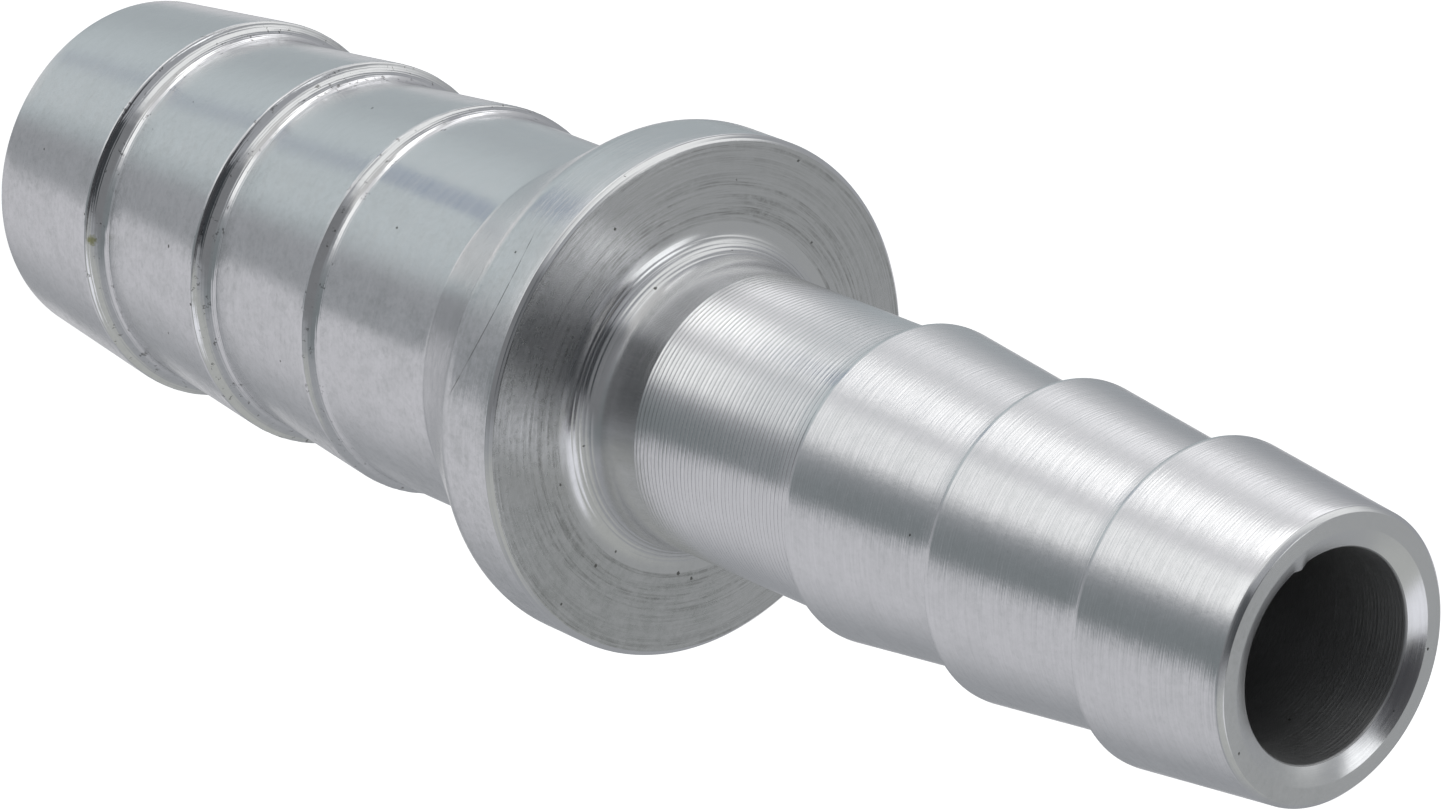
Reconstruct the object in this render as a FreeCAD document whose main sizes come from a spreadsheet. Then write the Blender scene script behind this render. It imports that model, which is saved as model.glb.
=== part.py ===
import FreeCAD, Part
import math
import os

import Sketcher

os.makedirs("parts", exist_ok=True)

# A straight reducing hose connector, turned from one bar of aluminium. A wide barbed spigot is below,
# a narrow barbed spigot above, and a stepped bore runs through both. Lengths are millimetres.
# The body is dimensioned from the front face of its collar, the way it is turned, and its
# placement then stands it on the wide end with the origin in the middle of that face.

SIZES = [
    # name, value, what it is
    ("collar_radius", 9.0, "outside of the collar's rim"),
    ("rim_width", 2.45, "cylindrical rim of the collar"),
    ("collar_cone_length", 4.0, "cone that rises from the wide neck to the rim"),
    ("rim_edge", 0.2, "broken edge between the rim and the front face"),
    ("crest_land", 0.12, "narrow flat on top of every barb"),
    ("large_crest_radius", 7.0, "top of the barbs on the wide spigot"),
    ("large_barb_height", 0.55, "barb top over barb root, wide spigot"),
    ("large_barb_pitch", 6.5, "barb spacing, wide spigot"),
    ("large_barb_count", 3, "barbs on the wide spigot"),
    ("large_lead_length", 6.25, "lead cone of the wide spigot"),
    ("large_lead_rise", 0.65, "rise of the wide lead cone"),
    ("large_neck_length", 6.4, "plain neck of the wide spigot"),
    ("large_neck_step", 0.3, "barb top over the wide neck"),
    ("large_shoulder_radius", 0.8, "hollow shoulder behind every barb, wide spigot"),
    ("small_crest_radius", 5.35, "top of the barbs on the narrow spigot"),
    ("small_barb_height", 0.7, "barb top over barb root, narrow spigot"),
    ("small_barb_pitch", 6.6, "barb spacing, narrow spigot"),
    ("small_barb_count", 3, "barbs on the narrow spigot"),
    ("small_lead_length", 5.6, "lead cone of the narrow spigot"),
    ("small_lead_rise", 0.62, "rise of the narrow lead cone"),
    ("small_neck_length", 10.45, "front face to the first narrow barb"),
    ("small_neck_step", 0.45, "barb top over the narrow neck"),
    ("small_shoulder_length", 0.35, "steep shoulder behind every barb, narrow spigot"),
    ("neck_fillet_radius", 2.4, "hollow fillet from the front face to the narrow neck"),
    ("large_wall", 1.45, "wall of the wide spigot under its barb roots"),
    ("small_wall", 1.25, "wall of the narrow spigot under its barb roots"),
    ("bore_stop", 2.2, "front face down to the end of the wide bore's straight wall"),
    ("drill_point_angle", 118.0, "full angle of the cone between the two bores"),
    ("large_mouth_width", 0.5, "bevel at the wide mouth, along the end face"),
    ("large_mouth_depth", 0.3, "bevel at the wide mouth, along the axis"),
    ("small_mouth_width", 0.65, "bevel at the narrow mouth, along the end face"),
    ("small_mouth_depth", 0.3, "bevel at the narrow mouth, along the axis"),
    ("large_end_edge", 0.15, "broken outer edge of the wide end"),
    ("small_end_edge", 0.15, "broken outer edge of the narrow end"),
]

doc = FreeCAD.newDocument("HoseConnector")
sheet = doc.addObject("Spreadsheet::Sheet", "Sizes")
sheet.set("A1", "name")
sheet.set("B1", "value")
sheet.set("C1", "meaning")
for row, (name, value, meaning) in enumerate(SIZES, start=2):
    sheet.set("A%d" % row, name)
    sheet.set("B%d" % row, str(value))
    sheet.set("C%d" % row, meaning)
    sheet.setAlias("B%d" % row, name)
doc.recompute()
size = {name: value for name, value, meaning in SIZES}

body = doc.addObject("PartDesign::Body", "ConnectorBody")
body.Label = "connector_body"
origin = {item.Role: item for item in body.Origin.OriginFeatures}


def new_sketch(name):
    """An empty sketch on the plane through the axis: across is the radius, up is the axis."""
    sketch = body.newObject("Sketcher::SketchObject", name)
    sketch.AttachmentSupport = [(origin["XZ_Plane"], "")]
    sketch.MapMode = "FlatFace"
    return sketch


def bind(sketch, constraint, name, expression):
    """Adds one named constraint and ties it to the sheet."""
    index = sketch.addConstraint(constraint)
    sketch.renameConstraint(index, name)
    sketch.setExpression("Constraints." + name, expression)
    return index


def point(x, y):
    return FreeCAD.Vector(x, y, 0)


def arc_between(start, end, radius, inside):
    """An arc through two points; inside is any point on the centre's side of the chord."""
    mid = (start + end) * 0.5
    chord = end - start
    half = chord.Length / 2
    normal = FreeCAD.Vector(-chord.y, chord.x, 0).normalize()
    if normal.dot(inside - mid) < 0:
        normal = normal * -1
    centre = mid + normal * math.sqrt(max(radius * radius - half * half, 1e-6))
    first = math.atan2(start.y - centre.y, start.x - centre.x)
    last = math.atan2(end.y - centre.y, end.x - centre.x)
    turn = (last - first) % (2 * math.pi)
    circle = Part.Circle(centre, FreeCAD.Vector(0, 0, 1), radius)
    if turn <= math.pi:
        return Part.ArcOfCircle(circle, first, first + turn), 1, 2
    return Part.ArcOfCircle(circle, last, last + (2 * math.pi - turn)), 2, 1


class Outline:
    """A closed outline, drawn edge by edge; a smooth edge runs on from the last one without a corner."""

    def __init__(self, sketch, start):
        self.sketch = sketch
        self.start = start
        self.here = start
        self.first = None
        self.last = None
        self.last_end = None

    def _join(self, index, start_point, end_point, smooth):
        kind = "Tangent" if smooth else "Coincident"
        if self.last is None:
            self.first = (index, start_point)
        else:
            self.sketch.addConstraint(
                Sketcher.Constraint(kind, self.last, self.last_end, index, start_point))
        self.last = index
        self.last_end = end_point
        return index

    def line(self, x, y, smooth=False):
        there = point(x, y)
        index = self.sketch.addGeometry(Part.LineSegment(self.here, there), False)
        self.here = there
        return self._join(index, 1, 2, smooth)

    def arc(self, x, y, radius, inside, smooth=False):
        there = point(x, y)
        curve, start_point, end_point = arc_between(self.here, there, radius, inside)
        index = self.sketch.addGeometry(curve, False)
        self.here = there
        return self._join(index, start_point, end_point, smooth)

    def close(self):
        index = self.line(self.start.x, self.start.y)
        self.sketch.addConstraint(
            Sketcher.Constraint("Coincident", index, 2, self.first[0], self.first[1]))
        return index


# Section of the connector

section = new_sketch("ConnectorSection")

rim_top = 0.0
rim_bottom = -size["rim_width"]
cone_bottom = rim_bottom - size["collar_cone_length"]
large_crests_top = cone_bottom - size["large_neck_length"]
large_crests_length = (size["large_barb_count"] - 1) * size["large_barb_pitch"] + size["crest_land"]
large_crests_bottom = large_crests_top - large_crests_length
bottom = large_crests_bottom - size["large_lead_length"]
small_crests_bottom = size["small_neck_length"]
small_crests_length = (size["small_barb_count"] - 1) * size["small_barb_pitch"] + size["crest_land"]
small_crests_top = small_crests_bottom + small_crests_length
top = small_crests_top + size["small_lead_length"]

large_crest = size["large_crest_radius"]
large_neck = large_crest - size["large_neck_step"]
small_crest = size["small_crest_radius"]
small_neck = small_crest - size["small_neck_step"]
large_bore_radius = large_crest - size["large_barb_height"] - size["large_wall"]
small_bore_radius = small_crest - size["small_barb_height"] - size["small_wall"]
LARGE_BORE = "Sizes.large_crest_radius - Sizes.large_barb_height - Sizes.large_wall"
SMALL_BORE = "Sizes.small_crest_radius - Sizes.small_barb_height - Sizes.small_wall"
shoulder = size["large_shoulder_radius"]
face_wall = size["collar_radius"] - size["rim_edge"] - small_neck
fillet = min(size["neck_fillet_radius"], 0.9 * face_wall)


def shoulder_run(drop):
    """Length along the axis of a hollow shoulder that ends square to its drop."""
    return math.sqrt(max(2 * shoulder * drop - drop * drop, 1e-6))


large_run = shoulder_run(size["large_neck_step"])
small_run = size["small_shoulder_length"]
drill_slope = math.radians(90 - size["drill_point_angle"] / 2)
bore_step = large_bore_radius - small_bore_radius
step_bottom = rim_top - size["bore_stop"]
step_top = step_bottom + bore_step * math.tan(drill_slope)

draw = Outline(section, point(large_crest - size["large_lead_rise"], bottom))
large_lead = draw.line(large_crest, large_crests_bottom)
large_crests = draw.line(large_crest, large_crests_top)
large_shoulder = draw.arc(large_neck, large_crests_top + large_run, shoulder,
                          point(large_neck + shoulder, large_crests_top + large_run))
large_plain = draw.line(large_neck, cone_bottom, smooth=True)
cone = draw.line(size["collar_radius"], rim_bottom)
rim = draw.line(size["collar_radius"], rim_top)
face = draw.line(small_neck + fillet, rim_top)
neck_fillet = draw.arc(small_neck, rim_top + fillet, fillet, point(small_neck + fillet, fillet), smooth=True)
small_plain = draw.line(small_neck, small_crests_bottom - small_run, smooth=True)
small_shoulder = draw.line(small_crest, small_crests_bottom)
small_crests = draw.line(small_crest, small_crests_top)
small_lead = draw.line(small_crest - size["small_lead_rise"], top)
small_end = draw.line(small_bore_radius + size["small_mouth_width"], top)
small_mouth = draw.line(small_bore_radius, top - size["small_mouth_depth"])
small_bore = draw.line(small_bore_radius, step_top)
bore_cone = draw.line(large_bore_radius, step_bottom)
large_bore = draw.line(large_bore_radius, bottom + size["large_mouth_depth"])
large_mouth = draw.line(large_bore_radius + size["large_mouth_width"], bottom)
large_end = draw.close()

for upright in (large_crests, large_plain, rim, small_plain, small_crests, small_bore, large_bore):
    section.addConstraint(Sketcher.Constraint("Vertical", upright))
for level in (face, small_end, large_end):
    section.addConstraint(Sketcher.Constraint("Horizontal", level))
section.addConstraint(Sketcher.Constraint("PointOnObject", face, 1, -1))


def radius_of(edge, end, name, expression):
    """The distance of a point from the axis."""
    bind(section, Sketcher.Constraint("DistanceX", -1, 1, edge, end, size_at(edge, end, 0)), name, expression)


def height_of(first, first_end, last, last_end, name, expression):
    """The distance along the axis from a lower point to a higher one."""
    rise = size_at(last, last_end, 1) - size_at(first, first_end, 1)
    bind(section, Sketcher.Constraint("DistanceY", first, first_end, last, last_end, rise), name, expression)


def size_at(edge, end, axis):
    found = section.Geometry[edge]
    spot = found.StartPoint if end == 1 else found.EndPoint
    return spot[axis]


radius_of(rim, 1, "CollarRadius", "Sizes.collar_radius")
height_of(rim, 1, rim, 2, "RimWidth", "Sizes.rim_width")
height_of(cone, 1, cone, 2, "ConeLength", "Sizes.collar_cone_length")
height_of(large_crests, 2, cone, 1, "LargeNeckLength", "Sizes.large_neck_length")
radius_of(large_plain, 1, "LargeNeckRadius", "Sizes.large_crest_radius - Sizes.large_neck_step")
radius_of(large_crests, 1, "LargeCrestRadius", "Sizes.large_crest_radius")
height_of(large_crests, 1, large_crests, 2, "LargeCrestsLength",
          "(Sizes.large_barb_count - 1) * Sizes.large_barb_pitch + Sizes.crest_land")
height_of(large_lead, 1, large_lead, 2, "LargeLeadLength", "Sizes.large_lead_length")
radius_of(large_lead, 1, "LargeEndRadius", "Sizes.large_crest_radius - Sizes.large_lead_rise")
radius_of(small_plain, 1, "SmallNeckRadius", "Sizes.small_crest_radius - Sizes.small_neck_step")
height_of(face, 1, small_crests, 1, "SmallNeckLength", "Sizes.small_neck_length")
radius_of(small_crests, 1, "SmallCrestRadius", "Sizes.small_crest_radius")
height_of(small_crests, 1, small_crests, 2, "SmallCrestsLength",
          "(Sizes.small_barb_count - 1) * Sizes.small_barb_pitch + Sizes.crest_land")
height_of(small_lead, 1, small_lead, 2, "SmallLeadLength", "Sizes.small_lead_length")
radius_of(small_lead, 2, "SmallEndRadius", "Sizes.small_crest_radius - Sizes.small_lead_rise")
radius_of(small_bore, 1, "SmallBoreRadius", SMALL_BORE)
radius_of(small_end, 2, "SmallMouthRadius", SMALL_BORE + " + Sizes.small_mouth_width")
height_of(small_mouth, 2, small_mouth, 1, "SmallMouthDepth", "Sizes.small_mouth_depth")
radius_of(large_bore, 1, "LargeBoreRadius", LARGE_BORE)
radius_of(large_mouth, 2, "LargeMouthRadius", LARGE_BORE + " + Sizes.large_mouth_width")
height_of(large_mouth, 2, large_mouth, 1, "LargeMouthDepth", "Sizes.large_mouth_depth")
height_of(bore_cone, 2, face, 1, "BoreStop", "Sizes.bore_stop")
height_of(bore_cone, 2, bore_cone, 1, "DrillPoint",
          "((" + LARGE_BORE + ") - (" + SMALL_BORE + ")) * tan(90 deg - Sizes.drill_point_angle * 1 deg / 2)")


bind(section, Sketcher.Constraint("Radius", large_shoulder, shoulder), "LargeShoulder",
     "Sizes.large_shoulder_radius")
bind(section, Sketcher.Constraint("Radius", neck_fillet, fillet), "NeckFillet",
     "min(Sizes.neck_fillet_radius; 0.9 * (Sizes.collar_radius - Sizes.rim_edge"
     " - Sizes.small_crest_radius + Sizes.small_neck_step))")
height_of(small_shoulder, 1, small_shoulder, 2, "SmallShoulder", "Sizes.small_shoulder_length")

turned = body.newObject("PartDesign::Revolution", "TurnedSection")
turned.Profile = section
turned.ReferenceAxis = (section, ["V_Axis"])
turned.Angle = 360.0
doc.recompute()


def barb_gap(name, crest_radius, barb_height, crest_level, foot_level, exprs, hollow):
    """The ring that is turned away between two barbs: a shoulder, then the next barb's cone.

    The shoulder drops from a crest at crest_level, and the cone reaches the next crest at foot_level.
    A hollow shoulder is an arc that runs smoothly into the cone, and any other is a steep straight wall.
    """
    sketch = new_sketch(name)
    side = 1 if foot_level > crest_level else -1
    root = crest_radius - barb_height
    outer = crest_radius + barb_height
    gap = Outline(sketch, point(crest_radius, crest_level))
    if hollow:
        run = side * shoulder_run(barb_height)
        wall = gap.arc(root, crest_level + run, shoulder, point(root + shoulder, crest_level + run))
    else:
        run = side * size["small_shoulder_length"]
        wall = gap.line(root, crest_level + run)
    slope = gap.line(crest_radius, foot_level, smooth=hollow)
    foot = gap.line(outer, foot_level)
    back = gap.line(outer, crest_level)
    top_edge = gap.close()
    sketch.addConstraint(Sketcher.Constraint("Horizontal", foot))
    sketch.addConstraint(Sketcher.Constraint("Vertical", back))
    sketch.addConstraint(Sketcher.Constraint("Horizontal", top_edge))

    def rise(first, first_end, last, last_end, length, label, expression):
        ends = (first, first_end, last, last_end) if side > 0 else (last, last_end, first, first_end)
        bind(sketch, Sketcher.Constraint("DistanceY", *ends, length), label, expression)

    if hollow:
        bind(sketch, Sketcher.Constraint("Radius", wall, shoulder), "Shoulder", exprs["shoulder"])
    else:
        rise(wall, 1, wall, 2, abs(run), "Shoulder", exprs["shoulder"])

    def across(edge, end, length, label, expression):
        bind(sketch, Sketcher.Constraint("DistanceX", -1, 1, edge, end, length), label, expression)

    across(slope, 2, crest_radius, "Crest", exprs["crest"])
    across(slope, 1, root, "Root", exprs["root"])
    across(back, 1, outer, "Outer", exprs["outer"])
    across(top_edge, 2, crest_radius, "CrestTop", exprs["crest"])
    rise(top_edge, 2, slope, 2, abs(foot_level - crest_level), "Gap", exprs["gap"])
    level = (slope, 2, -1, 1) if foot_level < 0 else (-1, 1, slope, 2)
    bind(sketch, Sketcher.Constraint("DistanceY", *level, abs(foot_level)), "Level", exprs["level"])
    return sketch


def turn_gaps(name, sketch, count_expression, pitch_expression, downwards):
    """Turns one gap away and repeats it along the axis."""
    groove = body.newObject("PartDesign::Groove", name)
    groove.Profile = sketch
    groove.ReferenceAxis = (sketch, ["V_Axis"])
    groove.Angle = 360.0
    doc.recompute()
    row = body.newObject("PartDesign::LinearPattern", name + "Row")
    row.Originals = [groove]
    row.Direction = (origin["Z_Axis"], [""])
    row.Reversed = downwards
    row.Mode = "Spacing"
    row.setExpression("Offset", pitch_expression)
    row.setExpression("Occurrences", count_expression)
    body.Tip = row
    doc.recompute()
    return groove, row


# Barbs of the wide spigot: the gap nearest the collar lies between its last two crests

large_gap_top = large_crests_top - size["crest_land"]
large_gap_bottom = large_crests_top - size["large_barb_pitch"]
large_gap_sizes = {
    "crest": "Sizes.large_crest_radius",
    "root": "Sizes.large_crest_radius - Sizes.large_barb_height",
    "outer": "Sizes.large_crest_radius + Sizes.large_barb_height",
    "gap": "Sizes.large_barb_pitch - Sizes.crest_land",
    "level": "Sizes.rim_width + Sizes.collar_cone_length + Sizes.large_neck_length + Sizes.crest_land",
    "shoulder": "Sizes.large_shoulder_radius",
}
large_gap = barb_gap("LargeBarbGap", large_crest, size["large_barb_height"],
                     large_gap_bottom, large_gap_top, large_gap_sizes, True)
large_groove, large_row = turn_gaps("LargeBarbs", large_gap, "Sizes.large_barb_count - 1",
                                    "Sizes.large_barb_pitch", True)

# Barbs of the narrow spigot: the gap nearest the collar lies between its first two crests

small_gap_bottom = small_crests_bottom + size["crest_land"]
small_gap_top = small_crests_bottom + size["small_barb_pitch"]
small_gap_sizes = {
    "crest": "Sizes.small_crest_radius",
    "root": "Sizes.small_crest_radius - Sizes.small_barb_height",
    "outer": "Sizes.small_crest_radius + Sizes.small_barb_height",
    "gap": "Sizes.small_barb_pitch - Sizes.crest_land",
    "level": "Sizes.small_neck_length + Sizes.crest_land",
    "shoulder": "Sizes.small_shoulder_length",
}
small_gap = barb_gap("SmallBarbGap", small_crest, size["small_barb_height"],
                     small_gap_top, small_gap_bottom, small_gap_sizes, False)
small_groove, small_row = turn_gaps("SmallBarbs", small_gap, "Sizes.small_barb_count - 1",
                                    "Sizes.small_barb_pitch", False)

for groove, before in ((large_groove, turned), (small_groove, large_row)):
    if groove.Shape.Volume >= before.Shape.Volume - 1.0:
        raise RuntimeError(groove.Name + " removed nothing")
for row, groove in ((large_row, large_groove), (small_row, small_groove)):
    if row.Occurrences > 1 and row.Shape.Volume >= groove.Shape.Volume - 1.0:
        raise RuntimeError(row.Name + " repeated nothing")


# Broken edges


def circle_edges(shape, spots):
    """Names of the round edges that lie at the given radius and level."""
    names = []
    for radius, level in spots:
        found = None
        for number, edge in enumerate(shape.Edges, start=1):
            if edge.Curve.TypeId != "Part::GeomCircle":
                continue
            if abs(edge.Curve.Radius - radius) < 1e-4 and abs(edge.Curve.Center.z - level) < 1e-4:
                found = "Edge%d" % number
        if found is None:
            raise RuntimeError("no edge at radius %.3f, level %.3f" % (radius, level))
        names.append(found)
    return names


def break_edge(name, base, radius, level, expression):
    feature = body.newObject("PartDesign::Chamfer", name)
    feature.Base = (base, circle_edges(base.Shape, [(radius, level)]))
    feature.ChamferType = "Equal distance"
    feature.setExpression("Size", expression)
    body.Tip = feature
    doc.recompute()
    if feature.Shape.Volume >= base.Shape.Volume:
        raise RuntimeError(name + " removed nothing")
    return feature


rim_edge = break_edge("RimEdge", small_row, size["collar_radius"], rim_top, "Sizes.rim_edge")
large_end_edge = break_edge("LargeEndEdge", rim_edge, large_crest - size["large_lead_rise"], bottom,
                            "Sizes.large_end_edge")
small_end_edge = break_edge("SmallEndEdge", large_end_edge, small_crest - size["small_lead_rise"], top,
                            "Sizes.small_end_edge")

# Stand the connector on its wide end

body.setExpression("Placement.Base.z", "Sizes.rim_width + Sizes.collar_cone_length + Sizes.large_neck_length"
                   " + (Sizes.large_barb_count - 1) * Sizes.large_barb_pitch + Sizes.crest_land"
                   " + Sizes.large_lead_length")
doc.recompute()

faults = []
for item in doc.Objects:
    if "Invalid" in item.State or "Error" in item.State:
        faults.append(item.Name)
if faults:
    raise RuntimeError("failed features: " + ", ".join(faults))

SUB_PARTS = [body]
for item in SUB_PARTS:
    if item.Shape.isNull() or not item.Shape.isValid():
        raise RuntimeError(item.Label + " has no valid shape")
    if len(item.Shape.Solids) != 1:
        raise RuntimeError(item.Label + " isn't one solid")
for item in SUB_PARTS:
    item.Shape.exportStep("parts/" + item.Label + ".step")
    box = item.Shape.BoundBox
    print(item.Label, "volume", round(item.Shape.Volume, 2), "faces", len(item.Shape.Faces))
    print("box", [round(n, 3) for n in (box.XMin, box.XMax, box.YMin, box.YMax, box.ZMin, box.ZMax)])
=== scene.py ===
import math

import bpy
from bpy.props import FloatProperty, FloatVectorProperty, IntProperty, PointerProperty
from mathutils import Matrix, Vector, noise


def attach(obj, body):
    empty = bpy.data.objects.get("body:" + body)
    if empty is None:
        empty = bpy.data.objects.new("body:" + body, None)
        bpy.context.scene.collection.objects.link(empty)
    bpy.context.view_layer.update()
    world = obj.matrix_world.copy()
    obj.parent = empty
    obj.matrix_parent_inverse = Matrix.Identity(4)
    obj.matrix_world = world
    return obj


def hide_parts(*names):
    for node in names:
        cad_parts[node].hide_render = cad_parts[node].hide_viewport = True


bl_info = {
    "name": "Turned hose connector",
    "version": (1, 0, 0),
    "blender": (4, 5, 0),
    "location": "3D View > Sidebar > Connector",
    "description": "Builds the finished surface of a turned aluminium hose connector and its studio",
    "category": "Object",
}

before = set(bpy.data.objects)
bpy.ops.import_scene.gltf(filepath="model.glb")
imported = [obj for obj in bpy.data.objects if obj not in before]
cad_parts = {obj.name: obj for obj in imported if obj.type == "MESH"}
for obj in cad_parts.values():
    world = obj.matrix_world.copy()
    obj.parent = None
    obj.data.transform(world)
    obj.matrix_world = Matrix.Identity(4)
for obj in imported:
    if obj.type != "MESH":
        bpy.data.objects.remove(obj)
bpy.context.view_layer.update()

MM = 0.001
NODE = "connector_body"
HOLLOW_STEPS = 9
# The longest steps along straight runs; shorter ones take the body over 200,000 triangles
PLAIN_RUN = 0.64 * MM
BORE_RUN = 3.6 * MM
DRILL_SLOPE = math.radians(31)

# Four fine ridges on the neck's fillet, in millimetres from the front face along an arc of its full radius
RIDGES = 4
RIDGES_START = 1.55
RIDGE_FEED = 0.165
RIDGE_WIDTH = 0.035
RIDGE_HEIGHT = 0.009
RIDGE_PARTS = 3

# Small faults of this one part, in millimetres: torn barb shoulders, a burr at the narrow mouth, a stain on
# the first wide barb, and the direction of the side that is worn most
TORN_DEPTH = 0.014
BURR = Vector((-2.12, -2.65, 61.3))
BURR_REACH = 0.3
BURR_HEIGHT = 0.14
STAIN = Vector((3.10, -6.05, 6.55))
WORN_SIDE = (0.82, -0.57, 0.0)

# How much a streak or a blotch dulls the metal and takes from its gloss
STREAK_HAZE = 0.12
STREAK_ROUGH = 0.08
BLOTCH_ROUGH = 0.10

# A card leans from this drop on
LEAN_FROM = math.radians(57)
DOME_RINGS = 12
DOME_STEPS = 48

# Each stretch of the turned outline has a finish: its tone, its roughness across the marks and their stretch,
# the feed between two grooves in millimetres, the depth of rounded grooves, slanted teeth, streaks and dents
# in thousandths of a millimetre, then how mottled and how pitted it is
FINISHES = {
    "wide": dict(tone=1.00, roughness=0.13, stretch=0.9, feed=0.100, groove=0.6,
                 streak=1.0, dents=4.0, mottle=0.9, pits=0.15),
    "shoulder": dict(tone=1.00, roughness=0.07, stretch=0.6, feed=0.125, groove=4.0,
                     streak=0.8, dents=3.0, mottle=0.5, pits=0.80),
    "rim": dict(tone=1.00, roughness=0.12, stretch=0.9, feed=0.240, groove=0.8,
                streak=3.0, dents=5.0, mottle=1.1, pits=0.25),
    "edge": dict(tone=1.00, roughness=0.10, stretch=0.7, feed=0.13, groove=3.0,
                 streak=0.8, dents=2.0, mottle=0.3, pits=0.30),
    "face": dict(tone=0.9, roughness=0.20, stretch=0.8, feed=0.230, groove=0.8,
                 streak=4.5, dents=3.0, mottle=1.2, pits=0.80),
    "fillet": dict(tone=0.94, roughness=0.16, stretch=0.85, feed=0.080, groove=0.5,
                   streak=0.4, dents=2.0, mottle=0.4, pits=0.30),
    "neck": dict(tone=1.00, roughness=0.12, stretch=0.85, feed=0.185, groove=0.0, tooth=27.0,
                 streak=2.5, dents=5.0, mottle=0.2, pits=0.05),
    "narrow": dict(tone=1.00, roughness=0.12, stretch=0.9, feed=0.110, groove=1.2,
                   streak=2.4, dents=6.5, mottle=0.5, pits=0.05),
    "tip": dict(tone=1.00, roughness=0.2, stretch=0.8, feed=0.070, groove=0.6,
                streak=0.5, dents=2.0, mottle=0.5, pits=0.20),
    # The bore's low tone is painted shade: it darkens the metal inside the bore
    "bore": dict(tone=0.58, roughness=0.42, stretch=0.6, feed=0.150, groove=4.0,
                 streak=3.0, dents=4.0, mottle=0.6, pits=0.20),
}

# The studio's soft cards, seen in the metal. Heading is the angle round the axis and drop the angle from
# straight down, in degrees: where the card starts, how soft that edge is, where it ends, how soft that is.
# A leaning card turns by so many degrees of heading for each degree of drop
BACKDROP_LIGHT = (0.32, 0.33, 0.35)
CARDS = {
    "ceiling": dict(heading=(-60, 60, 60, 60), drop=(100, 40, 180, 1), light=(0.335, 0.345, 0.35)),
    "table": dict(heading=(20, 20, 173, 36), drop=(0, 1, 50, 6), light=(0.39, 0.43, 0.45)),
    "table_near": dict(heading=(84, 40, 172, 36), drop=(0, 1, 50, 6), light=(0.48, 0.53, 0.55)),
    "under": dict(heading=(50, 30, 160, 30), drop=(6, 6, 20, 6), light=(0.72, 0.71, 0.72)),
    "table_gap": dict(heading=(117, 6, 130, 7), drop=(26, 6, 50, 6), light=(0.37, 0.41, 0.455)),
    "rim_gap": dict(heading=(119, 3, 132, 3), drop=(39, 4, 49, 4), light=(0.30, 0.35, 0.42)),
    "behind_low": dict(heading=(-34, 16, 32, 14), drop=(12, 8, 40, 8), light=(0.62, 0.62, 0.64)),
    "behind_high": dict(heading=(-12, 8, 14, 8), drop=(40, 8, 72, 8), light=(0.70, 0.70, 0.72)),
    "window": dict(heading=(60, 50, 184, 26), drop=(50, 6, 78, 10), light=(0.70, 0.70, 0.72)),
    "low_window": dict(heading=(118, 16, 160, 14), drop=(76, 6, 102, 6), light=(0.56, 0.56, 0.56)),
    "high_window": dict(heading=(50, 40, 150, 20), drop=(102, 8, 127, 12), light=(0.85, 0.86, 0.86)),
    "left_strip": dict(heading=(74, 12, 95, 14), drop=(60, 20, 79, 10), lean=0.5, light=(1.30, 1.30, 1.33)),
    "main_strip": dict(heading=(116, 10, 142, 6), drop=(59, 20, 84, 10), lean=0.8, light=(1.50, 1.50, 1.50)),
    "right_strip": dict(heading=(154, 8, 180, 16), drop=(60, 20, 80, 10), lean=0.2, light=(1.05, 1.06, 1.06)),
    "dark_flag": dict(heading=(189, 34, 236, 20), drop=(50, 8, 110, 40), light=(0.19, 0.21, 0.22)),
    "pale_side": dict(heading=(218, 10, 288, 60), drop=(12, 10, 72, 16), lean=-0.7, light=(0.55, 0.55, 0.58)),
    "far_wall": dict(heading=(238, 20, 330, 30), drop=(110, 12, 162, 6), light=(0.42, 0.43, 0.42)),
    "camera_side": dict(heading=(157, 14, 222, 16), drop=(88, 24, 180, 1), light=(0.19, 0.195, 0.205)),
    "lens": dict(heading=(152, 10, 216, 10), drop=(139, 8, 180, 1), light=(0.04, 0.045, 0.05)),
    "near_lamp": dict(heading=(36, 8, 80, 8), drop=(144, 6, 162, 6), light=(1.20, 1.22, 1.24)),
    "far_lamp": dict(heading=(262, 8, 326, 10), drop=(141, 6, 162, 6), light=(0.80, 0.81, 0.86)),
    "above": dict(heading=(0, 1, 360, 1), drop=(160, 6, 180, 1), light=(0.05, 0.05, 0.055)),
}


# Sizes and finishes


def length(name, description, value):
    return FloatProperty(name=name, description=description, default=value * MM, unit="LENGTH", precision=5)


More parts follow.
